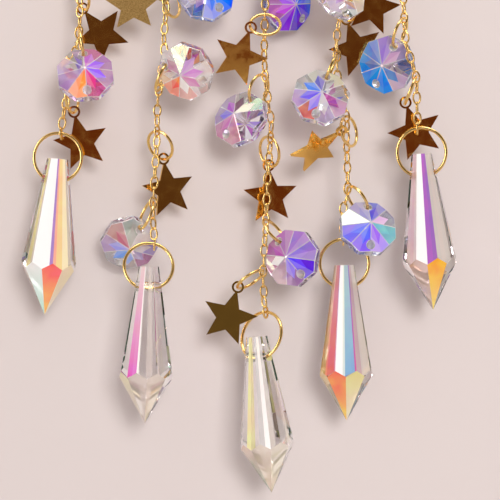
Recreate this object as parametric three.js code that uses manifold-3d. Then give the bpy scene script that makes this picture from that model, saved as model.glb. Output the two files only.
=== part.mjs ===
// A hanging crystal suncatcher: a gold wire hoop with five chains, each with faceted glass octagons and
// flat gold stars on jump rings down its length, and a long glass drop at its end.
// Millimetres, +Z up. The origin is where the hanging eye rests on its hook. The view is along +Y.

import * as THREE from 'three';
import { mergeVertices } from 'three/addons/utils/BufferGeometryUtils.js';
import Module from 'manifold-3d';

const wasm = await Module();
wasm.setup();

// Driving dimensions.

const HOOP_DIAMETER = 100;
const HOOP_WIRE = 1.8;
const HOOP_STEPS = 28;
const HANGING_EYE_DIAMETER = 10;
const HANGING_EYE_WIRE = 1.6;
const HANGING_EYE_STEPS = 12;
const CHAIN_EYE_DIAMETER = 3.2;
const CHAIN_EYE_WIRE = 0.7;
const CHAIN_EYE_STEPS = 8;
const SOLDER_DEPTH = 0.4;

const LINK_LENGTH = 3.45;
const LINK_WIDTH = 2.3;
const LINK_WIRE = 0.5;
const LINK_STEPS = 4;
const LINK_CONTACT = 0.06;

const JUMP_RING_DIAMETER = 8.15;
const JUMP_RING_WIRE = 0.75;
const JUMP_RING_STEPS = 8;
const DROP_RING_DIAMETER = 12.7;
const DROP_RING_WIRE = 0.8;
const DROP_RING_STEPS = 12;
const RIDGED_WIRE = 3;
const SQUARED_WIRE = 4;

const BEAD_DIAMETER = 14.4;
const BEAD_THICKNESS = 7.4;
const BEAD_CORNER_THICKNESS = 1.6;
const BEAD_HOLE = 2;
const BEAD_HOLE_REACH = 5.1;
const BEAD_SIDES = 8;

const STAR_DIAMETER = 14;
const STAR_WAIST = 6.3;
const STAR_THICKNESS = 0.7;
const STAR_POINTS = 5;
const STAR_EYE_DIAMETER = 3.1;
const STAR_EYE_HOLE = 1.9;
const STAR_EYE_REACH = 7.7;
const STAR_EYE_SIDES = 8;
const STAR_SLACK = 28;
const STAR_SWING = 6;

const DROP_LENGTH = 38;
const DROP_DIAMETER = 13.4;
const DROP_TOP_DIAMETER = 5.2;
const DROP_SHOULDER = 25.4;
const DROP_HOLE = 2.7;
const DROP_HOLE_DEPTH = 5;
const DROP_SIDES = 8;

const HOLE_SIDES = 6;
const REST_GAP = 0.3;
const MERGE_DISTANCE = 1e-4;

// The least part of a wire's direction that may point to the back when a piece comes to rest on it.
const LEAST_DEPTH = 0.2;

// Each chain runs from its eye through the points of its route, given as distances across and below the
// hoop's lowest point and, where the chain is pushed aside, behind it. Each pendant is threaded at a depth
// below that point. Its jump ring runs from the link at an angle from straight down, leans to the front
// and is turned from edge-on. The piece sits some way round the ring and lies at its own angle. Angles to
// the right are positive.

const CHAINS = [
  {
    route: [
      [-41.3, 8], [-41.5, 15.1], [-41.7, 22.4], [-43, 28.8, 0.3], [-44.1, 35.6], [-45.4, 42.4],
      [-46.3, 47.8],
    ],
    ring: { run: -6.6, lean: 0, turn: 98 },
    tilt: -4.8,
    pendants: [
      { name: 'star_1_upper', below: 8.5, run: 3, lean: -30, turn: -32, round: 0, lie: 36.5 },
      { name: 'octagon_1', below: 21.5, run: 12, lean: 24, turn: -8, round: 0, lie: 8 },
      { name: 'star_1_lower', below: 35.6, run: 7.7, lean: -14, turn: 20, round: 0, lie: 13 },
    ],
  },
  {
    route: [
      [-20.3, 5], [-20.4, 15.1], [-21, 23.9], [-21, 27.3], [-22, 34.6], [-22.6, 40.7], [-22.6, 45.9],
      [-23.4, 60.2], [-23.8, 68], [-23.7, 70.2], [-23.2, 74.9],
    ],
    ring: { run: -15.3, lean: 21, turn: 90 },
    tilt: -1.5,
    pendants: [
      { name: 'octagon_2_upper', below: 7.1, run: 69, lean: 0, turn: -15, round: 0, lie: 36.6 },
      { name: 'star_2_upper', below: 11.7, run: 16.7, lean: -8, turn: 30, round: -125, lie: -72 },
      { name: 'octagon_2_middle', below: 36.6, run: 160, lean: 29, turn: -12, round: 0, lie: 70 },
      { name: 'star_2_lower', below: 46, run: 11.1, lean: -22, turn: -50, round: 0, lie: 9 },
      { name: 'octagon_2_lower', below: 63.4, run: -31.6, lean: -22, turn: -20, round: 0, lie: -33 },
    ],
  },
  {
    route: [
      [3.8, 3.4], [3.7, 15.1], [3.5, 29.8], [4.1, 37.1], [5, 43.2], [4.9, 50.5], [4.4, 55.4], [4.1, 63.4],
      [3.8, 70.7], [3.2, 81.7], [3.4, 86.8], [3.8, 91],
    ],
    ring: { run: -10.2, lean: 15, turn: 130 },
    tilt: 5.5,
    pendants: [
      { name: 'octagon_3_upper', below: 5.4, run: 23.6, lean: -26, turn: -30, round: 0, lie: 41 },
      { name: 'star_3_upper', below: 17.9, run: 0, lean: 41, turn: 90, round: -72, lie: -21 },
      { name: 'octagon_3_middle', below: 33.2, run: -25.3, lean: 8, turn: 35, round: 0, lie: -34 },
      { name: 'star_3_middle', below: 47.2, run: -4, lean: -24, turn: -40, round: 0, lie: 3.5 },
      { name: 'octagon_3_lower', below: 68, run: 34.5, lean: 22, turn: 20, round: 0, lie: 34 },
      { name: 'star_3_lower', below: 80, run: -57, lean: 0, turn: 18, round: 0, lie: -16.4 },
    ],
  },
  {
    route: [
      [22.3, -2], [22.2, 15.1], [21.2, 23.7], [21.3, 30.2], [21.5, 34.6], [23.4, 42], [23.5, 48],
      [23.8, 60.7], [23.4, 63.9], [22.8, 65.4], [22.7, 68.8], [23, 72.9],
    ],
    ring: { run: 0, lean: 0, turn: 93 },
    tilt: 0.9,
    pendants: [
      { name: 'octagon_4_upper', below: 2.9, run: -5.7, lean: 30, turn: -30, round: 0, lie: -2.6 },
      { name: 'star_4_upper', below: 14.1, run: 15, lean: -37, turn: -28, round: 0, lie: 19 },
      { name: 'octagon_4_middle', below: 28.3, run: -25, lean: 20, turn: 5, round: 0, lie: -16.1 },
      { name: 'star_4_lower', below: 42.4, run: 9.8, lean: 0, turn: 33, round: -94, lie: -54 },
      { name: 'octagon_4_lower', below: 59.8, run: 39.9, lean: 14, turn: -24, round: 0, lie: 2.7 },
    ],
  },
  {
    route: [
      [37.5, -14], [37.4, 8, -0.8], [37.4, 18.8, -2.6], [37.8, 25.4, -4.4], [38.8, 28.8, -4.6],
      [39.9, 31.7, -4.4], [40.2, 35.1, -3.8], [40.7, 45.1, -1.5],
    ],
    ring: { run: 9.5, lean: 0, turn: 101 },
    tilt: 4.2,
    pendants: [
      { name: 'star_5_upper', below: 4.9, run: -52.9, lean: -16, turn: 8, round: 0, lie: -13 },
      { name: 'octagon_5', below: 19.8, run: -15.2, lean: -17, turn: 22, round: 0, lie: -25 },
      { name: 'star_5_lower', below: 34.1, run: -20.2, lean: -30, turn: 5, round: 0, lie: 19.6 },
    ],
  },
];

// Materials.

const gold = () => new THREE.MeshStandardMaterial({ color: 0xd9a83f, metalness: 1, roughness: 0.2 });
const mirrorGold = () => new THREE.MeshStandardMaterial({ color: 0xb98a34, metalness: 1, roughness: 0.08 });
const crystal = () => new THREE.MeshStandardMaterial({ color: 0xdccff0, metalness: 0, roughness: 0.05 });

// Directions and frames.

const radians = THREE.MathUtils.degToRad;
const FRONT = new THREE.Vector3(0, -1, 0);
const BACK = new THREE.Vector3(0, 1, 0);
const ACROSS = new THREE.Vector3(1, 0, 0);

function downward(angle, lean = 0) {
  const a = radians(angle);
  const f = radians(lean);
  return new THREE.Vector3(Math.sin(a) * Math.cos(f), -Math.sin(f), -Math.cos(a) * Math.cos(f));
}

function squared(direction, axis) {
  return direction.clone().addScaledVector(axis, -direction.dot(axis)).normalize();
}

function turned(direction, axis, angle) {
  return direction.clone().applyAxisAngle(axis, angle);
}

function angleAbout(from, to, axis) {
  return Math.atan2(new THREE.Vector3().crossVectors(from, to).dot(axis), from.dot(to));
}

function frameOf(up, normal, at) {
  const y = squared(normal, up);
  const x = new THREE.Vector3().crossVectors(y, up);
  return new THREE.Matrix4().makeBasis(x, y, up).setPosition(at);
}

// Solids.

function toSolid(geometry) {
  const bare = geometry.clone();
  for (const name of Object.keys(bare.attributes)) {
    if (name !== 'position') bare.deleteAttribute(name);
  }
  const merged = mergeVertices(bare, MERGE_DISTANCE);
  return new wasm.Manifold(new wasm.Mesh({
    numProp: 3,
    vertProperties: new Float32Array(merged.attributes.position.array),
    triVerts: new Uint32Array(merged.index.array),
  }));
}

function toGeometry(solid) {
  const mesh = solid.getMesh();
  const geometry = new THREE.BufferGeometry();
  geometry.setAttribute('position', new THREE.BufferAttribute(new Float32Array(mesh.vertProperties), 3));
  geometry.setIndex(new THREE.BufferAttribute(new Uint32Array(mesh.triVerts), 1));
  return geometry;
}

// A closed loop of wire in its own XZ plane, with its hole along Y and a ridge along the inside.
// A length beyond the width gives it straight sides.
function wireLoop(width, length, wire, steps, sides) {
  const toCorner = 1 / Math.cos(Math.PI / steps);
  const straight = (length - width) / 2;
  const radius = ((width - wire) / 2) * toCorner;
  const geometry = new THREE.TorusGeometry(radius, (-wire / 2) * toCorner, sides, steps);
  geometry.rotateZ(Math.PI / steps);
  const points = geometry.attributes.position;
  for (let i = 0; i < points.count; i += 1) {
    points.setY(i, points.getY(i) + Math.sign(points.getY(i)) * straight);
  }
  geometry.rotateX(Math.PI / 2);
  return geometry;
}

// A rod with flat sides along Y, for holes.
function rodAlongY(diameter, length) {
  return new THREE.CylinderGeometry(diameter / 2, diameter / 2, length, HOLE_SIDES);
}

// A solid turned about Z from points given as radius and height, with flat sides.
function turnedSolid(points, sides, turn) {
  const outline = points.map(([r, z]) => new THREE.Vector2(r, z));
  const geometry = new THREE.LatheGeometry(outline, sides);
  geometry.rotateX(Math.PI / 2);
  geometry.rotateZ(turn);
  return toSolid(geometry);
}

// The octagon has eight sides and, on each face, eight kites that meet at a low point in the middle.
// Its holes are drilled near the middles of the upper and the lower side.
function beadGeometry() {
  const radius = BEAD_DIAMETER / 2;
  const half = BEAD_THICKNESS / 2;
  const halfStep = Math.PI / BEAD_SIDES;
  const slope = (half - BEAD_CORNER_THICKNESS / 2) / radius;
  const kiteReach = half / slope / Math.cos(halfStep);
  const sides = [[0, -half], [radius, -half], [radius, half], [0, half]];
  const faces = [[0, -half], [kiteReach, 0], [0, half]];
  const block = turnedSolid(sides, BEAD_SIDES, halfStep);
  const kites = turnedSolid(faces, BEAD_SIDES, 0);
  const standing = toGeometry(block.intersect(kites));
  standing.rotateX(Math.PI / 2);
  let bead = toSolid(standing);
  for (const side of [1, -1]) {
    const hole = rodAlongY(BEAD_HOLE, BEAD_THICKNESS);
    hole.translate(0, 0, side * BEAD_HOLE_REACH);
    bead = bead.subtract(toSolid(hole));
  }
  return toGeometry(bead);
}

// The star is a flat plate with five points and an eye on its upper point.
function starGeometry() {
  const outline = new THREE.Shape();
  for (let i = 0; i < STAR_POINTS * 2; i += 1) {
    const reach = (i % 2 === 0 ? STAR_DIAMETER : STAR_WAIST) / 2;
    const angle = Math.PI / 2 + (i * Math.PI) / STAR_POINTS;
    const x = reach * Math.cos(angle);
    const y = reach * Math.sin(angle);
    if (i === 0) outline.moveTo(x, y);
    else outline.lineTo(x, y);
  }
  const plate = new THREE.ExtrudeGeometry(outline, { depth: STAR_THICKNESS, bevelEnabled: false });
  plate.translate(0, 0, -STAR_THICKNESS / 2);
  plate.rotateX(Math.PI / 2);
  const radius = STAR_EYE_DIAMETER / 2;
  const eye = new THREE.CylinderGeometry(radius, radius, STAR_THICKNESS, STAR_EYE_SIDES);
  eye.translate(0, 0, STAR_EYE_REACH);
  const hole = rodAlongY(STAR_EYE_HOLE, STAR_THICKNESS * 2);
  hole.translate(0, 0, STAR_EYE_REACH);
  return toGeometry(toSolid(plate).add(toSolid(eye)).subtract(toSolid(hole)));
}

// The drop widens in eight flat facets from its top to its shoulder. Eight lower facets, offset by half
// a facet, close it to a point. A hole runs across it near the top, which is at the local origin.
function dropGeometry() {
  const halfStep = Math.PI / DROP_SIDES;
  const radius = DROP_DIAMETER / 2;
  const top = DROP_TOP_DIAMETER / 2;
  const footReach = top + ((radius - top) * DROP_LENGTH) / DROP_SHOULDER;
  const lowerSlope = radius / (DROP_LENGTH - DROP_SHOULDER) / Math.cos(halfStep);
  const upperOutline = [[0, -DROP_LENGTH], [footReach, -DROP_LENGTH], [top, 0], [0, 0]];
  const lowerOutline = [[0, -DROP_LENGTH], [lowerSlope * DROP_LENGTH, 0], [0, 0]];
  const upper = turnedSolid(upperOutline, DROP_SIDES, halfStep);
  const lower = turnedSolid(lowerOutline, DROP_SIDES, 0);
  const hole = rodAlongY(DROP_HOLE, DROP_DIAMETER);
  hole.rotateZ(Math.PI / 2);
  hole.translate(0, 0, -DROP_HOLE_DEPTH);
  return toGeometry(upper.intersect(lower).subtract(toSolid(hole)));
}

// Layout of the hoop.

const hangingEyeHeight = HANGING_EYE_WIRE - HANGING_EYE_DIAMETER / 2;
const hoopReach = HOOP_DIAMETER / 2;
const hoopHeight = hangingEyeHeight - HANGING_EYE_DIAMETER / 2 - hoopReach + SOLDER_DEPTH;
const hoopBottom = hoopHeight - hoopReach;
const chainEyeReach = hoopReach + CHAIN_EYE_DIAMETER / 2 - SOLDER_DEPTH;

function chainEyeCentre(across) {
  const fall = Math.sqrt(chainEyeReach ** 2 - across ** 2);
  return new THREE.Vector3(across, 0, hoopHeight - fall);
}

function hoopSolid() {
  let solid = toSolid(
    wireLoop(HOOP_DIAMETER, HOOP_DIAMETER, HOOP_WIRE, HOOP_STEPS, SQUARED_WIRE).translate(0, 0, hoopHeight),
  );
  const hangingEye = wireLoop(
    HANGING_EYE_DIAMETER, HANGING_EYE_DIAMETER, HANGING_EYE_WIRE, HANGING_EYE_STEPS, SQUARED_WIRE,
  );
  solid = solid.add(toSolid(hangingEye.translate(0, 0, hangingEyeHeight)));
  for (const chain of CHAINS) {
    const centre = chainEyeCentre(chain.route[0][0]);
    const eye = wireLoop(
      CHAIN_EYE_DIAMETER, CHAIN_EYE_DIAMETER, CHAIN_EYE_WIRE, CHAIN_EYE_STEPS, SQUARED_WIRE,
    );
    solid = solid.add(toSolid(eye.translate(centre.x, centre.y, centre.z)));
  }
  return solid;
}

// Layout of one chain: the middle and the upward direction of every link.

const linkPitch = LINK_LENGTH - 2 * LINK_WIRE + LINK_CONTACT;
const linkInside = LINK_LENGTH / 2 - LINK_WIRE;
const chainEyeInside = CHAIN_EYE_DIAMETER / 2 - CHAIN_EYE_WIRE;

function layLinks(chain) {
  const start = chainEyeCentre(chain.route[0][0]);
  start.z += REST_GAP - chainEyeInside - linkInside;
  const stops = chain.route.slice(1).filter(([, below]) => hoopBottom - below < start.z - linkPitch);
  const points = stops.map(([across, below, behind = 0]) => (
    new THREE.Vector3(across, behind, hoopBottom - below)
  ));
  const curve = new THREE.CatmullRomCurve3([start, ...points], false, 'centripetal');
  const count = Math.round(curve.getLength() / linkPitch);
  const centres = [];
  for (let i = 0; i <= count; i += 1) {
    centres.push(curve.getPointAt(Math.min(i / count, 1)));
  }
  const links = [{ centre: start, up: new THREE.Vector3(0, 0, 1) }];
  for (let i = 1; i <= count; i += 1) {
    const up = centres[i - 1].clone().sub(centres[i]).normalize();
    const centre = links[i - 1].centre.clone().addScaledVector(up, -linkPitch);
    links.push({ centre, up });
  }
  return links;
}

// The roll of a link that lets a ring pass straight through its hole.
function rollFor(link, ringAlong) {
  return angleAbout(squared(ACROSS, link.up), squared(ringAlong, link.up), link.up);
}

// Neighbouring links are crossed. Between two set links the difference is spread evenly.
function rollLinks(links, settings) {
  const quarter = Math.PI / 2;
  const ordered = [...settings].sort((a, b) => a.index - b.index);
  let last = { index: 0, roll: 0 };
  links[0].roll = 0;
  for (const next of ordered) {
    const steps = next.index - last.index;
    let excess = (next.roll - last.roll - steps * quarter) % Math.PI;
    if (excess > quarter) excess -= Math.PI;
    if (excess < -quarter) excess += Math.PI;
    for (let i = 1; i <= steps; i += 1) {
      links[last.index + i].roll = last.roll + i * (quarter + excess / steps);
    }
    last = { index: next.index, roll: links[next.index].roll };
  }
}

function linkFrame(link) {
  const across = squared(ACROSS, link.up);
  return frameOf(link.up, turned(across, link.up, link.roll), link.centre);
}

// Layout of a ring that passes through a link, and of the piece threaded on it.

function layRing(at, spec, diameter, wire) {
  const reach = (diameter - wire) / 2;
  const run = downward(spec.run, spec.lean);
  const along = turned(squared(BACK, run), run, radians(spec.turn));
  const centre = at.clone().addScaledVector(run, reach);
  const normal = new THREE.Vector3().crossVectors(run, along);
  return { reach, run, normal, along, centre, frame: frameOf(run.clone().negate(), normal, centre) };
}

function threadAt(ring, round) {
  const out = turned(ring.run, ring.normal, radians(round));
  const along = new THREE.Vector3().crossVectors(ring.normal, out);
  return { out, along, at: ring.centre.clone().addScaledVector(out, ring.reach) };
}

// The lean that lets a piece lie square to the wire in its hole.
function restingLean(along, lie) {
  const a = radians(lie);
  const rise = Math.sin(a) * along.x - Math.cos(a) * along.z;
  const depth = Math.max(Math.abs(along.y), LEAST_DEPTH) * Math.sign(along.y || 1);
  return THREE.MathUtils.radToDeg(Math.atan(rise / depth));
}

// How far the wire bows inside a hole, halved, so that it clears both ends.
function bowOf(reach, length) {
  return (reach - Math.sqrt(reach ** 2 - (length / 2) ** 2)) / 2;
}

function layBead(thread, lie, ringReach) {
  const away = downward(lie, restingLean(thread.along, lie));
  const depth = BEAD_THICKNESS / 2;
  const centre = thread.at.clone();
  centre.addScaledVector(thread.out, -bowOf(ringReach, depth));
  centre.addScaledVector(away, BEAD_HOLE_REACH);
  return frameOf(away.clone().negate(), thread.along, centre);
}

function layStar(thread, lie) {
  const lean = THREE.MathUtils.clamp(restingLean(thread.along, lie), -STAR_SWING, STAR_SWING);
  const away = downward(lie, lean);
  const square = squared(thread.along, away);
  const facing = squared(square.y > 0 ? BACK : FRONT, away);
  const limit = radians(STAR_SLACK);
  const slack = THREE.MathUtils.clamp(angleAbout(square, facing, away), -limit, limit);
  const centre = thread.at.clone().addScaledVector(away, STAR_EYE_REACH);
  return frameOf(away.clone().negate(), turned(square, away, slack), centre);
}

function layDrop(ring, tilt) {
  const away = downward(tilt);
  const lowest = THREE.MathUtils.radToDeg(angleAbout(ring.run, squared(away, ring.normal), ring.normal));
  const thread = threadAt(ring, lowest);
  const hole = squared(thread.along, away);
  const width = DROP_TOP_DIAMETER + ((DROP_DIAMETER - DROP_TOP_DIAMETER) * DROP_HOLE_DEPTH) / DROP_SHOULDER;
  const top = thread.at.clone();
  top.addScaledVector(thread.out, -bowOf(ring.reach, width));
  top.addScaledVector(away, -DROP_HOLE_DEPTH);
  return frameOf(away.clone().negate(), new THREE.Vector3().crossVectors(away, hole), top);
}

// Assembly.

const group = new THREE.Group();
group.name = 'crystal_suncatcher';

function addNode(name, geometry, material, frame) {
  const mesh = new THREE.Mesh(geometry, material);
  mesh.name = name;
  if (frame) {
    mesh.position.setFromMatrixPosition(frame);
    mesh.quaternion.setFromRotationMatrix(frame);
  }
  group.add(mesh);
}

addNode('hoop', toGeometry(hoopSolid()), gold());

const bead = beadGeometry();
const star = starGeometry();
const drop = dropGeometry();
const link = wireLoop(LINK_WIDTH, LINK_LENGTH, LINK_WIRE, LINK_STEPS, RIDGED_WIRE);
const jumpRing = wireLoop(
  JUMP_RING_DIAMETER, JUMP_RING_DIAMETER, JUMP_RING_WIRE, JUMP_RING_STEPS, RIDGED_WIRE,
);
const dropRing = wireLoop(
  DROP_RING_DIAMETER, DROP_RING_DIAMETER, DROP_RING_WIRE, DROP_RING_STEPS, RIDGED_WIRE,
);

CHAINS.forEach((chain, number) => {
  const links = layLinks(chain);
  const settings = [];

  for (const pendant of chain.pendants) {
    const depths = links.map((one) => Math.abs(hoopBottom - pendant.below - one.centre.z));
    const index = depths.indexOf(Math.min(...depths));
    const ring = layRing(links[index].centre, pendant, JUMP_RING_DIAMETER, JUMP_RING_WIRE);
    const thread = threadAt(ring, pendant.round);
    settings.push({ index, roll: rollFor(links[index], ring.along) });
    addNode(`jump_ring_${pendant.name}`, jumpRing, gold(), ring.frame);
    if (pendant.name.startsWith('star')) {
      addNode(pendant.name, star, mirrorGold(), layStar(thread, pendant.lie));
    } else {
      addNode(pendant.name, bead, crystal(), layBead(thread, pendant.lie, ring.reach));
    }
  }

  const foot = links.length - 1;
  const ring = layRing(links[foot].centre, chain.ring, DROP_RING_DIAMETER, DROP_RING_WIRE);
  settings.push({ index: foot, roll: rollFor(links[foot], ring.along) });
  addNode(`drop_ring_${number + 1}`, dropRing, gold(), ring.frame);
  addNode(`drop_${number + 1}`, drop, crystal(), layDrop(ring, chain.tilt));

  rollLinks(links, settings);
  const solids = links.map((one) => toSolid(link.clone().applyMatrix4(linkFrame(one))));
  const chainSolid = solids.reduce((whole, one) => whole.add(one));
  addNode(`chain_${number + 1}`, toGeometry(chainSolid), gold());
});

export default group;
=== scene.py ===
"""Looks of a hanging crystal suncatcher: gold wire and chain, mirror-polished gold stars, and cut glass
octagons and drops with an iridescent film."""

import math

import bmesh
import bpy
import numpy as np
from mathutils import Matrix, Vector


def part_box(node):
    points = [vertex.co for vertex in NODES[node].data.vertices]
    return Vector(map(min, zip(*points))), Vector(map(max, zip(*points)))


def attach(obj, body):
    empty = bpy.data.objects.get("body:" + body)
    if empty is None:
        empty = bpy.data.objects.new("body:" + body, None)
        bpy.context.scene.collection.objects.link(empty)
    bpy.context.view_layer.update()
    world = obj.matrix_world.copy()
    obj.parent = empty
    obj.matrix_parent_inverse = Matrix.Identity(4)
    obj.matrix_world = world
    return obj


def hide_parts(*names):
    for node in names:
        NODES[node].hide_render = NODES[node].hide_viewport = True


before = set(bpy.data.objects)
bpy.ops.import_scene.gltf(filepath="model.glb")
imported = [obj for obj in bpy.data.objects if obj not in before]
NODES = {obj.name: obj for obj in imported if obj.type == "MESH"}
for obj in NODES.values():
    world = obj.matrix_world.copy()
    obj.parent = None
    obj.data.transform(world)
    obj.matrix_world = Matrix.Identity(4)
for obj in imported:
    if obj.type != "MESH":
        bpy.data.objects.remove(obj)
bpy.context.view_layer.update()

MM = 0.001

# Sizes of the pieces, in millimetres. They repeat the sizes of the solids. The radius of a wire loop is
# that of the middle of its wire.

HOOP_RADIUS = 49.1
HOOP_WIRE = 1.8
HANGING_EYE_RADIUS = 4.2
HANGING_EYE_WIRE = 1.6
CHAIN_EYE_RADIUS = 1.25
CHAIN_EYE_WIRE = 0.7
CHAIN_EYE_REACH = 51.2
SOLDER_DEPTH = 0.4
LINK_LENGTH = 3.4
LINK_WIDTH = 2.2
LINK_WIRE = 0.5
LINK_PITCH = 2.51
LINK_TOP = 1.6
JUMP_RING_RADIUS = 3.7
JUMP_RING_WIRE = 0.75
DROP_RING_RADIUS = 5.95
DROP_RING_WIRE = 0.8
BEAD_RADIUS = 7.2
BEAD_HALF = 3.7
BEAD_CORNER = 0.8
BEAD_HOLE = 2.0
BEAD_HOLE_REACH = 5.1
STAR_RADIUS = 7.0
STAR_WAIST = 3.15
STAR_THICKNESS = 0.7
STAR_EYE_RADIUS = 1.5
STAR_EYE_HOLE = 1.0
STAR_EYE_REACH = 7.7
DROP_LENGTH = 38.0
DROP_RADIUS = 6.7
DROP_TOP = 2.6
DROP_SHOULDER = 25.4
DROP_HOLE = 2.4
DROP_HOLE_DEPTH = 5.0
ARRIS = 0.12
STAR_ROUNDING = 0.2
HOLE_CUT = 30.0

# What tells how a solid lies, in millimetres: the corners round a bead's holes by their distance from
# its middle, those round a drop's hole by their depth below its top, how far the top of a star's
# eight-sided eye is above the eye's middle, how near a link's middle its own edges are, the step by
# which the middle of a chain is followed, and how far below its place the last link may come.

BEAD_HOLE_CORNERS = (3.0, 6.3)
DROP_HOLE_CORNERS = (2.0, 8.0)
STAR_EYE_TOP = 1.55 * math.cos(math.pi / 8)
LINK_EDGES = 1.6
CHAIN_STEP = 0.6
LAST_LINK_FALL = 0.4 * LINK_PITCH

# Steps round each loop and sides round its wire, sides of the round holes and eyes, and steps of a
# star's edge.

HOOP_STEPS = (160, 16)
HANGING_EYE_STEPS = (48, 14)
CHAIN_EYE_STEPS = (28, 10)
LINK_STEPS = (20, 8)
RING_STEPS = (56, 12)
HOLE_SIDES = 24
STAR_EYE_SIDES = 32
STAR_EDGE_STEPS = 3

# The sizes of the patterns in the materials, in millimetres. They are estimates: spots of wear and
# drifts of tone on wire, polishing waves and smudges on plate, drifts of hue in the film, and patches
# in the paint.

WIRE_WEAR = 1.43
WIRE_TONE = 8.33
PLATE_WAVE = 20.0
PLATE_SMUDGE = 2.5
FILM_DRIFT = 6.25
PAPER_PATCH = 333.0

# Sandblasting leaves marks of about 0.05 mm, too fine to show. They are drawn at 0.3 mm.

GRIT_MARK = 0.3


# The camera looks along +Y at the lower part of the suncatcher, with a long lens.

FRAME_WIDTH = 122.0
FRAME_CENTRE = (0.0, -183.4)
LENS = 135.0
SENSOR = 36.0
CAMERA_DISTANCE = FRAME_WIDTH / 2 / (SENSOR / 2 / LENS)

scene = bpy.context.scene
camera_data = bpy.data.cameras.new("camera")
camera_data.lens = LENS
camera_data.sensor_width = SENSOR
camera = bpy.data.objects.new("camera", camera_data)
camera.location = Vector((FRAME_CENTRE[0], -CAMERA_DISTANCE, FRAME_CENTRE[1])) * MM
camera.rotation_euler = (math.radians(90), 0, 0)
scene.collection.objects.link(camera)
scene.camera = camera
scene.view_settings.view_transform = "Standard"


# Materials.


def linear(hex_colour):
    """The linear value of an sRGB colour written as hex."""
    channels = [int(hex_colour[i : i + 2], 16) / 255 for i in (0, 2, 4)]
    return [c / 12.92 if c <= 0.04045 else ((c + 0.055) / 1.055) ** 2.4 for c in channels]


def add_node(tree, kind, settings=None, inputs=None, links=None):
    """Adds a node, sets its properties and input values, and links its inputs from other outputs."""
    node = tree.nodes.new(kind)
    for name, value in (settings or {}).items():
        setattr(node, name, value)
    for name, value in (inputs or {}).items():
        node.inputs[name].default_value = value
    for name, output in (links or {}).items():
        tree.links.new(output, node.inputs[name])
    return node


def new_material(name):
    material = bpy.data.materials.new(name)
    material.use_nodes = True
    material.node_tree.nodes.clear()
    return material, material.node_tree


def finish_material(tree, shader):
    add_node(tree, "ShaderNodeOutputMaterial", links={"Surface": shader.outputs[0]})


def polished_gold_plated_wire():
    """Drawn brass wire with bright gold plating. Handling has dulled it in spots, so its highlights are
    lively and not all one brightness."""
    material, tree = new_material("gold_plated_wire")
    place = add_node(tree, "ShaderNodeTexCoord")
    wear = add_node(
        tree,
        "ShaderNodeTexNoise",
        inputs={"Scale": 1 / (WIRE_WEAR * MM), "Detail": 3.0},
        links={"Vector": place.outputs["Object"]},
    )
    roughness = add_node(
        tree,
        "ShaderNodeMapRange",
        inputs={"From Min": 0.3, "From Max": 0.7, "To Min": 0.1, "To Max": 0.24},
        links={"Value": wear.outputs["Fac"]},
    )
    tone = add_node(
        tree,
        "ShaderNodeTexNoise",
        inputs={"Scale": 1 / (WIRE_TONE * MM), "Detail": 1.0},
        links={"Vector": place.outputs["Object"]},
    )
    colour = add_node(
        tree,
        "ShaderNodeMix",
        settings={"data_type": "RGBA"},
        links={"Factor": tone.outputs["Fac"]},
    )
    colour.inputs["A"].default_value = (*linear("fde088"), 1)
    colour.inputs["B"].default_value = (*linear("f9d08c"), 1)
    shader = add_node(
        tree,
        "ShaderNodeBsdfPrincipled",
        inputs={"Metallic": 1.0},
        links={"Base Color": colour.outputs["Result"], "Roughness": roughness.outputs["Result"]},
    )
    finish_material(tree, shader)
    return material


def mirror_gold_plated_brass():
    """Sheet brass, stamped, polished and plated with gold. It mirrors the dark side of the room, bent a
    little by polishing waves and dulled here and there by smudges."""
    material, tree = new_material("mirror_gold_plated_brass")
    place = add_node(tree, "ShaderNodeTexCoord")
    waves = add_node(
        tree,
        "ShaderNodeTexNoise",
        inputs={"Scale": 1 / (PLATE_WAVE * MM), "Detail": 0.0},
        links={"Vector": place.outputs["Object"]},
    )
    bump = add_node(
        tree,
        "ShaderNodeBump",
        inputs={"Strength": 0.15, "Distance": 0.3 * MM},
        links={"Height": waves.outputs["Fac"]},
    )
    smudges = add_node(
        tree,
        "ShaderNodeTexNoise",
        inputs={"Scale": 1 / (PLATE_SMUDGE * MM), "Detail": 4.0},
        links={"Vector": place.outputs["Object"]},
    )
    roughness = add_node(
        tree,
        "ShaderNodeMapRange",
        inputs={"From Min": 0.35, "From Max": 0.7, "To Min": 0.05, "To Max": 0.2},
        links={"Value": smudges.outputs["Fac"]},
    )
    shader = add_node(
        tree,
        "ShaderNodeBsdfPrincipled",
        inputs={"Base Color": (*linear("f2c063"), 1), "Metallic": 1.0},
        links={"Normal": bump.outputs["Normal"], "Roughness": roughness.outputs["Result"]},
    )
    finish_material(tree, shader)
    return material


def sandblasted_gold_plated_brass():
    """Sheet brass, stamped, sandblasted and plated with gold. The grit marks scatter the light into a
    dull glitter."""
    material, tree = new_material("sandblasted_gold_plated_brass")
    place = add_node(tree, "ShaderNodeTexCoord")
    grit = add_node(
        tree,
        "ShaderNodeTexNoise",
        inputs={"Scale": 1 / (GRIT_MARK * MM), "Detail": 2.0},
        links={"Vector": place.outputs["Object"]},
    )
    bump = add_node(
        tree,
        "ShaderNodeBump",
        inputs={"Strength": 0.8, "Distance": 0.1 * MM},
        links={"Height": grit.outputs["Fac"]},
    )
    colour = add_node(
        tree,
        "ShaderNodeMix",
        settings={"data_type": "RGBA"},
        links={"Factor": grit.outputs["Fac"]},
    )
    colour.inputs["A"].default_value = (*linear("7c5a20"), 1)
    colour.inputs["B"].default_value = (*linear("f0d48c"), 1)
    shader = add_node(
        tree,
        "ShaderNodeBsdfPrincipled",
        inputs={"Metallic": 1.0, "Roughness": 0.42},
        links={"Base Color": colour.outputs["Result"], "Normal": bump.outputs["Normal"]},
    )
    finish_material(tree, shader)
    return material


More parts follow.
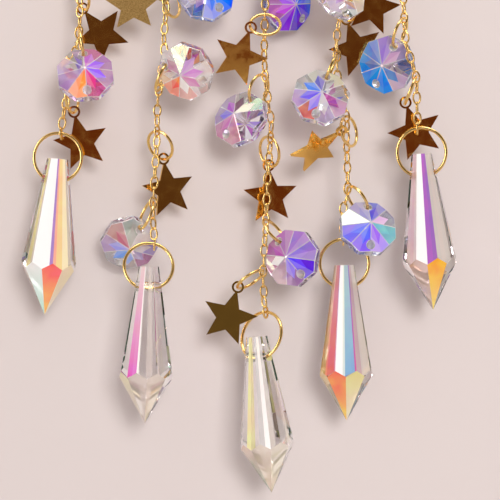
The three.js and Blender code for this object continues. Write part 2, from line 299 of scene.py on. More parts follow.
def cut_glass(name, transmission, film_index):
    """Crystal glass, cut and polished, with a rainbow film of metal oxide laid on as vapour. The facets
    that catch the light flash with the film's colour, which is kept on the mesh, and the more they
    flash the less shows through them. The colours kept on the mesh are partly the film's own and
    partly painted light: painted reflections where the facets flash, painted white highlights and
    painted pale light."""
    material, tree = new_material(name)
    film = add_node(tree, "ShaderNodeAttribute", settings={"attribute_name": "film"})
    place = add_node(tree, "ShaderNodeTexCoord")
    drift = add_node(
        tree,
        "ShaderNodeTexNoise",
        inputs={"Scale": 1 / (FILM_DRIFT * MM), "Detail": 2.0, "Distortion": 0.6},
        links={"Vector": place.outputs["Object"]},
    )
    turn = add_node(
        tree,
        "ShaderNodeMapRange",
        inputs={"From Min": 0.3, "From Max": 0.7, "To Min": 0.475, "To Max": 0.525},
        links={"Value": drift.outputs["Fac"]},
    )
    colour = add_node(
        tree,
        "ShaderNodeHueSaturation",
        inputs={"Saturation": 1.06},
        links={"Hue": turn.outputs["Result"], "Color": film.outputs["Color"]},
    )
    shader = add_node(
        tree,
        "ShaderNodeBsdfPrincipled",
        inputs={
            "Metallic": 0.0,
            "Roughness": 0.02,
            "IOR": 1.54,
            "Transmission Weight": transmission,
            "Thin Film Thickness": 420.0,
            "Thin Film IOR": film_index,
        },
        links={"Base Color": colour.outputs["Color"]},
    )
    finish_material(tree, shader)
    return material


GOLD_WIRE = polished_gold_plated_wire()
GOLD_PLATE = mirror_gold_plated_brass()
BLASTED_PLATE = sandblasted_gold_plated_brass()

# Three grades of one glass, by how much their film flashes. Each has its name, how much light passes
# through it, the index of its film and the strongest flash that it is used for.

GLASS_GRADES = (
    {"name": "clear_cut_glass", "passes": 1.0, "film_index": 1.7, "strongest": 0.2},
    {"name": "lightly_filmed_cut_glass", "passes": 0.6, "film_index": 1.8, "strongest": 0.55},
    {"name": "filmed_cut_glass", "passes": 0.1, "film_index": 1.65, "strongest": 1.0},
)
CUT_GLASS = [
    cut_glass(grade["name"], grade["passes"], grade["film_index"]) for grade in GLASS_GRADES
]


# Places. Each one is read from the solid that the piece stands for.


def mesh_corners(node):
    mesh = NODES[node].data
    flat = np.empty(len(mesh.vertices) * 3)
    mesh.vertices.foreach_get("co", flat)
    return flat.reshape(-1, 3)


def corners_of(node):
    """The different corners of a solid, in metres."""
    return np.unique(np.round(mesh_corners(node), 6), axis=0)


def between(values, limits):
    return (values > limits[0]) & (values < limits[1])


def spread_of(points):
    """The middle of some points, and their directions of least, middle and most spread."""
    middle = points.mean(axis=0)
    _, axes = np.linalg.eigh(np.cov((points - middle).T))
    return middle, axes.T


def place_of(middle, up, back):
    """A matrix with local Z along up and local Y as near to back as it can be."""
    z = Vector(up).normalized()
    y = Vector(back)
    y = (y - z * y.dot(z)).normalized()
    x = y.cross(z)
    matrix = Matrix((x, y, z)).transposed().to_4x4()
    matrix.translation = Vector(middle)
    return matrix


def pointing(direction, towards):
    """The direction, or its opposite, whichever points the way of towards."""
    return direction if np.dot(direction, towards) > 0 else -direction


def ring_place(node):
    middle, axes = spread_of(corners_of(node))
    return place_of(middle, axes[2], axes[0])


def bead_place(node, ring):
    corners = corners_of(node)
    middle, axes = spread_of(corners)
    back = pointing(axes[0], (0, 1, 0))
    offset = corners - middle
    flat = offset - np.outer(offset @ back, back)
    reach = np.linalg.norm(flat, axis=1) / MM
    rims = flat[between(reach, BEAD_HOLE_CORNERS)]
    _, rim_axes = spread_of(rims)
    up = pointing(rim_axes[2], corners_of(ring).mean(axis=0) - middle)
    return place_of(middle, up, back)


def star_place(node):
    corners = corners_of(node)
    middle, axes = spread_of(corners)
    along = (corners - middle) @ axes[2]
    up = axes[2] if along.max() < -along.min() else -axes[2]
    tip = ((corners - middle) @ up).max()
    centre = middle + up * (tip - (STAR_EYE_REACH + STAR_EYE_TOP) * MM)
    return place_of(centre, up, pointing(axes[0], (0, 1, 0)))


def drop_place(node):
    corners = corners_of(node)
    middle, axes = spread_of(corners)
    far = corners[np.argmax(np.linalg.norm(corners - middle, axis=1))]
    down = pointing(axes[2], far - middle)
    top = far - down * DROP_LENGTH * MM
    depth = (corners - top) @ down / MM
    rims = corners[between(depth, DROP_HOLE_CORNERS)]
    rims = rims - np.outer((rims - top) @ down, down)
    _, rim_axes = spread_of(rims)
    return place_of(top, -down, pointing(np.cross(down, rim_axes[2]), (0, 1, 0)))


# Meshes.


def make_object(name, mesh, materials, nodes):
    mesh.materials.clear()
    for material in materials:
        mesh.materials.append(material)
    piece = bpy.data.objects.new(name, mesh)
    scene.collection.objects.link(piece)
    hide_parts(*nodes)
    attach(piece, "root")
    return piece


def mesh_of(name, parts):
    """One mesh from several lists of corners and faces, with the faces turned outwards."""
    corners = []
    faces = []
    for part_corners, part_faces in parts:
        start = len(corners)
        corners.extend(part_corners)
        faces.extend([[start + i for i in face] for face in part_faces])
    mesh = bpy.data.meshes.new(name)
    mesh.from_pydata([tuple(c) for c in corners], [], faces)
    outward(mesh)
    return mesh


def outward(mesh):
    work = bmesh.new()
    work.from_mesh(mesh)
    bmesh.ops.recalc_face_normals(work, faces=work.faces)
    work.to_mesh(mesh)
    work.free()


def modified(mesh, kind, settings):
    """The mesh after one modifier."""
    carrier = bpy.data.objects.new("carrier", mesh)
    scene.collection.objects.link(carrier)
    modifier = carrier.modifiers.new("change", kind)
    for name, value in settings.items():
        setattr(modifier, name, value)
    view = bpy.context.evaluated_depsgraph_get()
    result = bpy.data.meshes.new_from_object(carrier.evaluated_get(view))
    bpy.data.objects.remove(carrier)
    return result


def combined(mesh, other, operation):
    """The mesh joined with another one, or cut by it."""
    carrier = bpy.data.objects.new("other", other)
    scene.collection.objects.link(carrier)
    settings = {"operation": operation, "solver": "EXACT", "object": carrier}
    result = modified(mesh, "BOOLEAN", settings)
    bpy.data.objects.remove(carrier)
    return result


def drilled(mesh, rods):
    """The mesh with a round hole for each rod, given as middle, direction, diameter and length."""
    parts = []
    for middle, direction, diameter, length in rods:
        parts.append(rod(Vector(middle), Vector(direction), diameter / 2, length, HOLE_SIDES))
    return combined(mesh, mesh_of("cutter", parts), "DIFFERENCE")


def bevelled(mesh, width, segments, least_angle):
    """The mesh with the edges that turn by at least an angle bevelled."""
    settings = {
        "width": width * MM,
        "segments": segments,
        "limit_method": "ANGLE",
        "angle_limit": math.radians(least_angle),
    }
    return modified(mesh, "BEVEL", settings)


def rod(middle, direction, radius, length, sides):
    """Corners and faces of a straight rod."""
    turn = Vector((0, 0, 1)).rotation_difference(direction)
    corners = []
    for end in (-0.5, 0.5):
        for i in range(sides):
            a = 2 * math.pi * i / sides
            corner = Vector((radius * math.cos(a), radius * math.sin(a), end * length))
            corners.append(middle + turn @ corner)
    faces = [[i, (i + 1) % sides, sides + (i + 1) % sides, sides + i] for i in range(sides)]
    faces.append(list(range(sides)))
    faces.append(list(range(sides, 2 * sides)))
    return corners, faces


def wire_loop(place, half_width, half_length, wire, steps, sides):
    """Corners and faces of a closed round or oval loop of round wire in the local XZ plane."""
    corners = []
    for i in range(steps):
        a = 2 * math.pi * i / steps
        middle = Vector((half_width * math.cos(a), 0, half_length * math.sin(a)))
        out = Vector((half_length * math.cos(a), 0, half_width * math.sin(a))).normalized()
        for j in range(sides):
            b = 2 * math.pi * j / sides
            offset = out * math.cos(b) + Vector((0, 1, 0)) * math.sin(b)
            corners.append(place @ ((middle + offset * wire / 2) * MM))
    faces = []
    for i in range(steps):
        for j in range(sides):
            k = (i + 1) % steps
            m = (j + 1) % sides
            faces.append([i * sides + j, k * sides + j, k * sides + m, i * sides + m])
    return corners, faces


def smooth(mesh):
    mesh.polygons.foreach_set("use_smooth", [True] * len(mesh.polygons))
    return mesh


# The hoop with its eyes.


def make_hoop(chain_tops):
    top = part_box("hoop")[1].z / MM
    eye_height = top - HANGING_EYE_RADIUS - HANGING_EYE_WIRE / 2
    eye_foot = eye_height - HANGING_EYE_RADIUS - HANGING_EYE_WIRE / 2
    hoop_height = eye_foot + SOLDER_DEPTH - HOOP_WIRE / 2 - HOOP_RADIUS
    loops = [
        (0, hoop_height, HOOP_RADIUS, HOOP_WIRE, HOOP_STEPS),
        (0, eye_height, HANGING_EYE_RADIUS, HANGING_EYE_WIRE, HANGING_EYE_STEPS),
    ]
    for chain_top in chain_tops:
        across = chain_top.x / MM
        height = hoop_height - math.sqrt(CHAIN_EYE_REACH**2 - across**2)
        loops.append((across, height, CHAIN_EYE_RADIUS, CHAIN_EYE_WIRE, CHAIN_EYE_STEPS))
    parts = []
    for across, height, radius, wire, steps in loops:
        place = Matrix.Translation(Vector((across, 0, height)) * MM)
        parts.append(wire_loop(place, radius, radius, wire, *steps))
    make_object("wire_hoop", smooth(mesh_of("wire_hoop", parts)), [GOLD_WIRE], ["hoop"])


# The chains. Each link is laid where the solid chain has one.


def middle_line(corners):
    """Heights down the chain with its average place at each height."""
    heights = corners[:, 2]
    levels = np.arange(heights.min(), heights.max(), CHAIN_STEP * MM)
    centres = []
    for level in levels:
        near = corners[np.abs(heights - level) < LINK_PITCH * MM]
        centres.append((near[:, :2].min(axis=0) + near[:, :2].max(axis=0)) / 2)
    return levels, np.array(centres)


def link_turn(node, middle, up):
    """The direction across one link, found where the solid link is cut level with its middle."""
    corners = mesh_corners(node)
    edges = NODES[node].data.edges
    ends = np.empty(len(edges) * 2, dtype=int)
    edges.foreach_get("vertices", ends)
    a = corners[ends[0::2]]
    b = corners[ends[1::2]]
    side_a = (a - middle) @ up
    side_b = (b - middle) @ up
    cut = side_a * side_b < 0
    part = (side_a[cut] / (side_a[cut] - side_b[cut]))[:, None]
    points = a[cut] + (b[cut] - a[cut]) * part
    points = points[np.linalg.norm(points - middle, axis=1) < LINK_EDGES * MM]
    if len(points) < 4:
        return np.array((1.0, 0.0, 0.0))
    return spread_of(points)[1][2]


def make_chain(number):
    node = f"chain_{number}"
    corners = corners_of(node)
    levels, centres = middle_line(corners)
    highest = corners[:, 2].max() - LINK_TOP * MM
    lowest = corners[:, 2].min() + LINK_TOP * MM

    def at(level):
        return np.array((*(np.interp(level, levels, centres[:, axis]) for axis in (0, 1)), level))

    first = at(highest)
    half_width = (LINK_WIDTH - LINK_WIRE) / 2
    half_length = (LINK_LENGTH - LINK_WIRE) / 2
    parts = []
    middle = first
    while middle[2] > lowest - LAST_LINK_FALL * MM:
        up = middle - at(middle[2] - LINK_PITCH * MM)
        up = up / np.linalg.norm(up)
        place = place_of(middle, up, np.cross(up, link_turn(node, middle, up)))
        parts.append(wire_loop(place, half_width, half_length, LINK_WIRE, *LINK_STEPS))
        middle = at(middle[2] - LINK_PITCH * MM * up[2])
    mesh = smooth(mesh_of(node, parts))
    make_object(f"cable_chain_{number}", mesh, [GOLD_WIRE], [node])
    return Vector(first)


# The rings.


def make_ring(node, radius, wire):
    parts = [wire_loop(ring_place(node), radius, radius, wire, *RING_STEPS)]
    make_object(f"round_{node}", smooth(mesh_of(node, parts)), [GOLD_WIRE], [node])


# The stars.

STAR_POINTS = 5
STAR_EDGE_ANGLE = 40


def star_shape():
    """A flat star with an eye on its upper point, stamped from plate with softened edges."""
    count = 2 * STAR_POINTS
    outline = []
    for i in range(count):
        reach = STAR_RADIUS if i % 2 == 0 else STAR_WAIST
        a = math.pi / 2 + math.pi * i / STAR_POINTS
        outline.append(Vector((reach * math.cos(a), 0, reach * math.sin(a))) * MM)
    half = Vector((0, STAR_THICKNESS / 2, 0)) * MM
    corners = [p - half for p in outline] + [p + half for p in outline]
    faces = [[i, (i + 1) % count, count + (i + 1) % count, count + i] for i in range(count)]
    faces += [list(range(count)), list(range(count, 2 * count))]
    plate = mesh_of("plate", [(corners, faces)])
    eye_middle = Vector((0, 0, STAR_EYE_REACH)) * MM
    through = Vector((0, 1, 0))
    disc = rod(eye_middle, through, STAR_EYE_RADIUS * MM, STAR_THICKNESS * MM, STAR_EYE_SIDES)
    joined = combined(plate, mesh_of("disc", [disc]), "UNION")
    hole = (eye_middle, through, STAR_EYE_HOLE * 2 * MM, HOLE_CUT * MM)
    return bevelled(drilled(joined, [hole]), STAR_ROUNDING, STAR_EDGE_STEPS, STAR_EDGE_ANGLE)


def make_star(node, shape, material):
    mesh = shape.copy()
    mesh.transform(star_place(node))
    make_object(f"plate_{node}", mesh, [material], [node])


# The cut glass. A flash is a colour and a strength, where 0 is clear glass and 1 is full colour. The
# flashes are matched to the picture.

CLEAR = ("f6f0f2", 0.04)
PINK_CLEAR = ("f4d8e4", 0.14)
MINT = ("d8f8ec", 0.2)
# Painted pale light on clear facets of the drops. It lightens glass that would otherwise show the
# shadowed wall behind it.
PAINTED_PALE_LIGHT = ("f4ebe6", 0.45)
# The next two are painted white highlights: the first where a facet mirrors a soft box, the second on
# the ground arrises and so also on the small faces inside the holes.
PAINTED_WHITE_HIGHLIGHT = ("ffffff", 0.95)
ARRIS_GLINT = ("ffffff", 0.5)
FAR_RIM = [CLEAR, PAINTED_WHITE_HIGHLIGHT, PINK_CLEAR, CLEAR, MINT, CLEAR, ("c8b0e8", 0.4)]
# The tone of the lit pale surroundings, painted on facets of the filmed grades as if seen through the
# glass.
PAINTED_SURROUNDINGS = linear("ece2dc")
CLEAR_TINT = 2

# How much fainter the second half of a kite flashes, on the near and on the far face.

NEAR_HALF = 0.84
FAR_HALF = 0.88

# A face smaller than this many square millimetres is an arris. The others are told apart by the slope
# of their normals: a bead's edge, a drop's top, and the facets above a drop's shoulder.

ARRIS_AREA = 0.8
EDGE_SLOPE = 0.7
TOP_SLOPE = 0.9
UPPER_SLOPE = -0.15

INNER_SIDE = 0.5
INNER_CORNER = 0.74
SIDES = 8
KITE = 2 * math.pi / SIDES
FACET = 2 * math.pi / SIDES
ARRIS_ANGLE = 12


def grade_of(strength):
    """Which grade of glass takes a flash of this strength."""
    return next(i for i, grade in enumerate(GLASS_GRADES) if strength <= grade["strongest"])


def painted_facet_colour(colour, strength, grade):
    """What the facet's painted colour is, between the painted tone of the pale surroundings, seen as if
    through the glass, and the full flash.
    """
    if grade == 0:
        return [1 + (c - 1) * strength * CLEAR_TINT for c in colour] + [1]
    part = min(1.0, strength / (1 - GLASS_GRADES[grade]["passes"]))
    return [s + (c - s) * part for s, c in zip(PAINTED_SURROUNDINGS, colour)] + [1]


def blended(flash, part):
    """The flash at some part of the way from its first colour to its last."""
    colour = [a + (b - a) * part for a, b in zip(linear(flash[0]), linear(flash[-2]))]
    return colour, flash[1] + (flash[-1] - flash[1]) * part


# The film attribute carries the film's colours together with painted reflections, painted highlights and
# painted pale light.
def add_facet_paint(mesh):
    return mesh.color_attributes.new("film", "FLOAT_COLOR", "CORNER").data


def finish_glass(node, mesh, place, grades):
    mesh.transform(place)
    make_object(f"cut_{node}", mesh, CUT_GLASS, [node])
    mesh.polygons.foreach_set("material_index", grades)


def octagon_shape():
    """The octagon with eight kites on each face, a narrow edge, two holes and ground arrises."""
    side_reach = BEAD_RADIUS * math.cos(KITE / 2)
    slope = (BEAD_HALF - BEAD_CORNER) / BEAD_RADIUS
    side_half = BEAD_HALF - slope * side_reach * math.cos(KITE / 2)
    corners = []
    faces = []
    for side in (-1, 1):
        start = len(corners)
        apex = Vector((0, side * BEAD_HALF, 0)) * MM
        corners.append(apex)
        for i in range(2 * SIDES):
            a = math.pi / 2 + KITE / 2 * i
            at_side = i % 2 == 0
            reach, half = (side_reach, side_half) if at_side else (BEAD_RADIUS, BEAD_CORNER)
            edge = Vector((reach * math.cos(a), side * half, reach * math.sin(a))) * MM
            corners.append(edge)
            corners.append(apex.lerp(edge, INNER_SIDE if at_side else INNER_CORNER))
        for i in range(2 * SIDES):
            outer = start + 1 + 2 * i
            next_outer = start + 1 + 2 * ((i + 1) % (2 * SIDES))
            inner, next_inner = outer + 1, next_outer + 1
            faces.append([start, inner, next_inner])
            faces.append([inner, outer, next_outer, next_inner])
    other = len(corners) // 2
    for k in range(SIDES):
        ring = [1 + 2 * ((2 * k + 1 + j) % (2 * SIDES)) for j in range(3)]
        faces.append([*ring, *[other + i for i in reversed(ring)]])
    mesh = mesh_of("octagon", [(corners, faces)])
    holes = []
    for side in (-1, 1):
        holes.append(((0, 0, side * BEAD_HOLE_REACH * MM), (0, 1, 0), BEAD_HOLE * MM, HOLE_CUT * MM))
    return bevelled(drilled(mesh, holes), ARRIS, 1, ARRIS_ANGLE)


def is_inner(x, z):
    """Whether a point on a face lies in the star of inner cells round the middle."""
    from_side = abs((math.atan2(x, z) + KITE / 2) % KITE - KITE / 2)
    side = INNER_SIDE * BEAD_RADIUS * math.cos(KITE / 2) * MM
    corner = INNER_CORNER * BEAD_RADIUS * MM
    limit = side * corner * math.sin(KITE / 2)
    limit /= corner * math.sin(KITE / 2 - from_side) + side * math.sin(from_side)
    return math.hypot(x, z) < limit


def make_octagon(node, shape, flashes):
    """flashes lists eight inner and eight outer ones, clockwise from the top as seen from the front, and
    a few for the far face, which shows broken up through the near one."""
    place = bead_place(node, f"jump_ring_{node}")
    mesh = shape.copy()
    up = place.to_3x3() @ Vector((math.sin(KITE / 2), 0, math.cos(KITE / 2)))
    first = round(math.atan2(up.x, up.z) / KITE)
    film = add_facet_paint(mesh)
    grades = []
    for face in mesh.polygons:
        x, _, z = face.center
        turn = math.atan2(x, z) / KITE
        kite = math.floor(turn)
        half = math.floor(turn * 2) % 2
        inner = is_inner(x, z)
        weight = 1.0
        # Arrises, and the small faces inside the holes, are painted with a white glint.
        if face.area < ARRIS_AREA * MM * MM:
            flash = ARRIS_GLINT
        elif abs(face.normal.y) < EDGE_SLOPE:
            flash = PINK_CLEAR if kite % 2 else CLEAR
        elif face.normal.y < 0:
            flash = flashes["inner" if inner else "outer"][(kite + first) % SIDES]
            weight = NEAR_HALF if half else 1.0
        else:
            far = flashes["far"] if inner else FAR_RIM
            flash = far[(kite * 3 + half * 2 + inner) % len(far)]
            weight = FAR_HALF if half else 1.0
        grades.append(grade_of(flash[1]))
        # Each facet is painted with its flash, which carries film colours, painted reflections and
        # painted highlights.
        for i in face.loop_indices:
            film[i].color = painted_facet_colour(linear(flash[0]), flash[1] * weight, grades[-1])
    finish_glass(node, mesh, place, grades)


def drop_point(angle, reach, depth):
    return Vector((reach * math.sin(angle), -reach * math.cos(angle), -depth)) * MM


def drop_shape(strips):
    """The long drop: eight upper facets, each in four narrow strips, and eight lower facets."""
    lower_slope = DROP_RADIUS / (DROP_LENGTH - DROP_SHOULDER)
    upper_slope = (DROP_RADIUS - DROP_TOP) / DROP_SHOULDER
    widen = math.cos(FACET / 2)
    tip_depth = lower_slope * DROP_LENGTH / widen - DROP_TOP * widen
    tip_depth /= upper_slope * widen + lower_slope / widen
    tip_reach = (DROP_TOP + upper_slope * tip_depth) * widen
    corners = []
    faces = []

    def facet(points):
        start = len(corners)
        corners.extend(points)
        faces.append(list(range(start, start + len(points))))

    def ridges(reach, depth):
        return [drop_point((k - 0.5) * FACET, reach, depth) for k in range(SIDES + 1)]

    def foot(part, k):
        """A point on the lower edge of an upper facet, which comes down to a tip in its middle."""
        if part <= 0.5:
            return shoulder[k].lerp(tips[k], part * 2)
        return tips[k].lerp(shoulder[k + 1], part * 2 - 1)

    top = ridges(DROP_TOP, 0)
    shoulder = ridges(DROP_RADIUS, DROP_SHOULDER)
    tips = [drop_point(k * FACET, tip_reach, tip_depth) for k in range(SIDES + 1)]
    point = drop_point(0, 0, DROP_LENGTH)
    for k in range(SIDES):
        for a, b in zip(strips, strips[1:]):
            head = [top[k].lerp(top[k + 1], part) for part in (a, b)]
            facet([*head, foot(b, k), foot(a, k)])
        facet([tips[k], shoulder[k + 1], tips[k + 1], point])
    facet([top[k].lerp(top[k + 1], a) for k in range(SIDES) for a in strips[:-1]])
    mesh = mesh_of("drop", [(corners, faces)])
    work = bmesh.new()
    work.from_mesh(mesh)
    bmesh.ops.remove_doubles(work, verts=work.verts, dist=0.001 * MM)
    bmesh.ops.recalc_face_normals(work, faces=work.faces)
    work.to_mesh(mesh)
    work.free()
    hole = ((0, 0, -DROP_HOLE_DEPTH * MM), (1, 0, 0), DROP_HOLE * MM, HOLE_CUT * MM)
    return bevelled(drilled(mesh, [hole]), ARRIS, 1, ARRIS_ANGLE)


def strip_of(x, y, depth, middle, strips):
    """Which strip of an upper facet a point lies on. middle is the facet's bearing."""
    reach = DROP_TOP + (DROP_RADIUS - DROP_TOP) * depth / DROP_SHOULDER
    side = (x * math.cos(middle) + y * math.sin(middle)) / (reach * math.sin(FACET / 2) * MM)
    return min(len(strips) - 2, max(0, int(np.searchsorted(strips, side / 2 + 0.5) - 1)))


def make_drop(number, strips, upper, lower):
    """strips gives where each upper facet is divided, from 0 to 1 across. upper gives the four strips of
    each upper facet and lower each lower facet, numbered round from the front."""
    node = f"drop_{number}"
    place = drop_place(node)
    mesh = drop_shape(strips)
    front = place.to_3x3().inverted() @ Vector((0, -1, 0))
    front_bearing = round(math.atan2(front.x, -front.y) / FACET) * FACET
    film = add_facet_paint(mesh)
    grades = []
    for face in mesh.polygons:
        x, y, z = face.center
        normal = face.normal
        bearing = (math.atan2(normal.x, -normal.y) - front_bearing) / FACET
        above = normal.z > UPPER_SLOPE
        if normal.z > TOP_SLOPE:
            flash = CLEAR
        elif above:
            k = round(bearing) % SIDES
            strip = strip_of(x, y, -z / MM, k * FACET + front_bearing, strips)
            flash = upper.get(k, [CLEAR] * 4)[strip]
        else:
            flash = lower.get(math.floor(bearing) % SIDES, CLEAR)
        grades.append(grade_of(max(flash[1], flash[-1])))
        start, end = (0, DROP_SHOULDER) if above else (DROP_SHOULDER, DROP_LENGTH)
        # Each facet is painted with its flash, which carries film colours, painted reflections, painted
        # highlights and painted light.
        for i in face.loop_indices:
            depth = -mesh.vertices[mesh.loops[i].vertex_index].co.z / MM
            part = min(1.0, max(0.0, (depth - start) / (end - start)))
            film[i].color = painted_facet_colour(*blended(flash, part), grades[-1])
    finish_glass(node, mesh, place, grades)


# The flashes of each octagon, clockwise from the top, and of each drop, by the number of the facet. A
# flash of two colours goes from the first at the top of its facet to the second at the bottom. The
# coloured flashes are the film's colours painted where the facets flash, so partly painted
# reflection; the white ones are painted highlights and the pale near-white ones painted light.

OCTAGONS = {
    "octagon_1": {
        "inner": [
            ("b84ac8", 0.8), ("a060f0", 0.85), ("8a68ff", 0.85), ("d83098", 0.85),
            ("ff7a5a", 0.9), ("c8b0e8", 0.35), CLEAR, ("e8e0f0", 0.15),
        ],
        "outer": [
            ("d868b0", 0.5), ("c080d8", 0.4), ("d8a0e0", 0.3), ("e060a8", 0.45),
            ("ff8a68", 0.75), ("c8a8e8", 0.4), ("d0b8f0", 0.35), CLEAR,
        ],
        "far": [("9060f0", 0.8), PAINTED_WHITE_HIGHLIGHT, ("ff8a60", 0.7), CLEAR, ("d24090", 0.8), CLEAR, MINT],
    },
    "octagon_2_upper": {
        "inner": [
            ("70a8ff", 0.7), ("40a8ff", 0.85), ("2890ff", 0.95), ("1c70ff", 0.95),
            ("3078f8", 0.8), ("c8a0e0", 0.35), ("c8a0e0", 0.35), ("a8a0f0", 0.5),
        ],
        "outer": [
            ("90b8ff", 0.6), ("50a8ff", 0.8), ("2c98ff", 0.9), ("1c70ff", 0.95),
            ("3078f8", 0.6), ("d8b8e8", 0.2), ("d8b8e8", 0.2), ("c8b8f0", 0.3),
        ],
        "far": [("4070ff", 0.7), ("c8a0e0", 0.6), ("2f90ff", 0.7), CLEAR],
    },
    "octagon_2_middle": {
        "inner": [
            ("f5ecdc", 0.15), ("b070c8", 0.65), ("b858c8", 0.7), ("c850b0", 0.65),
            ("ffffff", 0.7), ("ff6a4a", 0.85), ("f8d0b8", 0.2), ("c880b0", 0.3),
        ],
        "outer": [
            ("f5ecdc", 0.2), CLEAR, ("ffffff", 0.35), PINK_CLEAR,
            ("f4b8b0", 0.4), ("ff9a6a", 0.7), ("ffc890", 0.25), CLEAR,
        ],
        "far": [("c850b0", 0.8), CLEAR, ("ffa050", 0.7), PAINTED_WHITE_HIGHLIGHT, ("7a3a98", 0.8), CLEAR, MINT],
    },
    "octagon_2_lower": {
        "inner": [
            ("c8e0d0", 0.3), ("ffffff", 0.3), ("f0ecf8", 0.3), ("c8b0f0", 0.4),
            ("70a0ff", 0.6), ("5a98ff", 0.75), ("7f88f0", 0.7), ("a82a60", 0.75),
        ],
        "outer": [
            ("a8c8b8", 0.35), ("ffffff", 0.35), ("b0a0e8", 0.4), ("b868a8", 0.45),
            CLEAR, ("d0c0f0", 0.2), ("c0a8e8", 0.35), ("e0a098", 0.3),
        ],
        "far": [("a82a60", 0.7), PAINTED_WHITE_HIGHLIGHT, ("70a0ff", 0.8), CLEAR, CLEAR, ("b0a0e8", 0.7)],
    },
    "octagon_3_upper": {
        "inner": [
            ("7038e8", 0.85), ("4870f8", 0.9), ("3c68ff", 0.95), ("4050ff", 0.95),
            ("5030f0", 0.95), ("8028e0", 0.9), ("a838e0", 0.85), ("9038e8", 0.8),
        ],
        "outer": [
            ("7838e0", 0.8), ("4870f0", 0.85), ("4068f8", 0.9), ("5058ff", 0.95),
            ("5a28d0", 0.95), ("8028e0", 0.9), ("d070d8", 0.5), ("d898e0", 0.4),
        ],
        "far": [("6030b0", 0.8), ("4070ff", 0.8), ("e070b0", 0.6), CLEAR],
    },
    "octagon_3_middle": {
        "inner": [
            ("7a3070", 0.55), ("e8f8f0", 0.25), CLEAR, PINK_CLEAR,
            ("f0a0c8", 0.35), ("c040b0", 0.7), ("7a58f0", 0.75), ("b040d0", 0.8),
        ],
        "outer": [
            CLEAR, MINT, CLEAR, CLEAR,
            ("f4b0c8", 0.35), ("e090d0", 0.4), ("c0a0e8", 0.4), ("c8a8e8", 0.3),
        ],
        "far": [("b040c0", 0.8), CLEAR, PAINTED_WHITE_HIGHLIGHT, ("7a3070", 0.7), CLEAR, MINT, ("8058f0", 0.7)],
    },
    "octagon_3_lower": {
        "inner": [
            ("a040a8", 0.75), ("9a58c8", 0.75), ("8058d8", 0.75), ("6a48ff", 0.85),
            ("8058f8", 0.7), ("e8c0dc", 0.3), ("ffffff", 0.9), ("b020b0", 0.8),
        ],
        "outer": [
            ("a83ab0", 0.75), ("8a58c8", 0.75), ("7048c8", 0.75), ("5a28e0", 0.85),
            ("c898e0", 0.4), ("f0c8dc", 0.25), ("e8a0c8", 0.35), ("9a2890", 0.75),
        ],
        "far": [("b020b8", 0.7), CLEAR, ("8058f8", 0.7), PAINTED_WHITE_HIGHLIGHT, ("7a3070", 0.6)],
    },
    "octagon_4_upper": {
        "inner": [
            ("5a80e0", 0.5), ("e0e0c8", 0.25), ("e8e8c8", 0.3), ("dce0c0", 0.3),
            ("d8dccc", 0.2), ("c8a8e8", 0.45), ("b090e0", 0.45), ("8ab0e8", 0.4),
        ],
        "outer": [
            CLEAR, CLEAR, ("f0b8a8", 0.4), ("e8dcc8", 0.25),
            MINT, ("d8c8e8", 0.3), CLEAR, CLEAR,
        ],
        "far": [CLEAR, ("f0a8a8", 0.5), PAINTED_WHITE_HIGHLIGHT, ("c0a0e8", 0.6), CLEAR, ("d8e0b8", 0.5)],
    },
    "octagon_4_middle": {
        "inner": [
            ("4a48b8", 0.8), ("f0f0dc", 0.2), CLEAR, ("d068b8", 0.5),
            ("ffffff", 0.5), ("9070f0", 0.75), ("6a60f0", 0.85), ("4f80f0", 0.85),
        ],
        "outer": [
            ("e8f0e8", 0.25), ("e8f0c8", 0.25), CLEAR, ("e8b0d8", 0.35),
            ("c8b0e8", 0.3), ("ff9a80", 0.5), ("c8a8f0", 0.35), MINT,
        ],
        "far": [("4a48b0", 0.8), PAINTED_WHITE_HIGHLIGHT, CLEAR, ("c860b0", 0.7), MINT, CLEAR, ("6a60f0", 0.7)],
    },
    "octagon_4_lower": {
        "inner": [
            ("4f50d8", 0.85), ("d090e0", 0.6), ("8af0ff", 0.5), ("9060f8", 0.8),
            ("5f60ff", 0.85), ("6f70ff", 0.8), ("ffffff", 0.95), ("8088d0", 0.75),
        ],
        "outer": [
            ("6068c8", 0.8), ("a8a0c8", 0.45), ("80e0f0", 0.45), ("a080f8", 0.7),
            ("7a50f8", 0.8), ("8068f8", 0.8), ("ffffff", 0.95), ("9490c8", 0.7),
        ],
        "far": [("5050d0", 0.7), CLEAR, ("d090e0", 0.6), PAINTED_WHITE_HIGHLIGHT, ("6f80ff", 0.6)],
    },
    "octagon_5": {
        "inner": [
            ("9068d0", 0.8), ("9a50a8", 0.6), ("e8c8e8", 0.2), ("50a0f8", 0.5),
            ("2c9cff", 0.95), ("20a8ff", 0.95), ("4878c0", 0.85), ("6888d0", 0.85),
        ],
        "outer": [
            ("8a68c8", 0.75), ("c8a0e0", 0.3), ("e8d0f0", 0.15), ("d8b8f0", 0.25),
            ("2090ff", 0.95), ("1c98ff", 0.95), ("2c90f0", 0.9), ("5c8cd8", 0.85),
        ],
        "far": [CLEAR, ("e8c8e8", 0.3), CLEAR, ("d8b8f0", 0.3), ("8a68c0", 0.4)],
    },
}

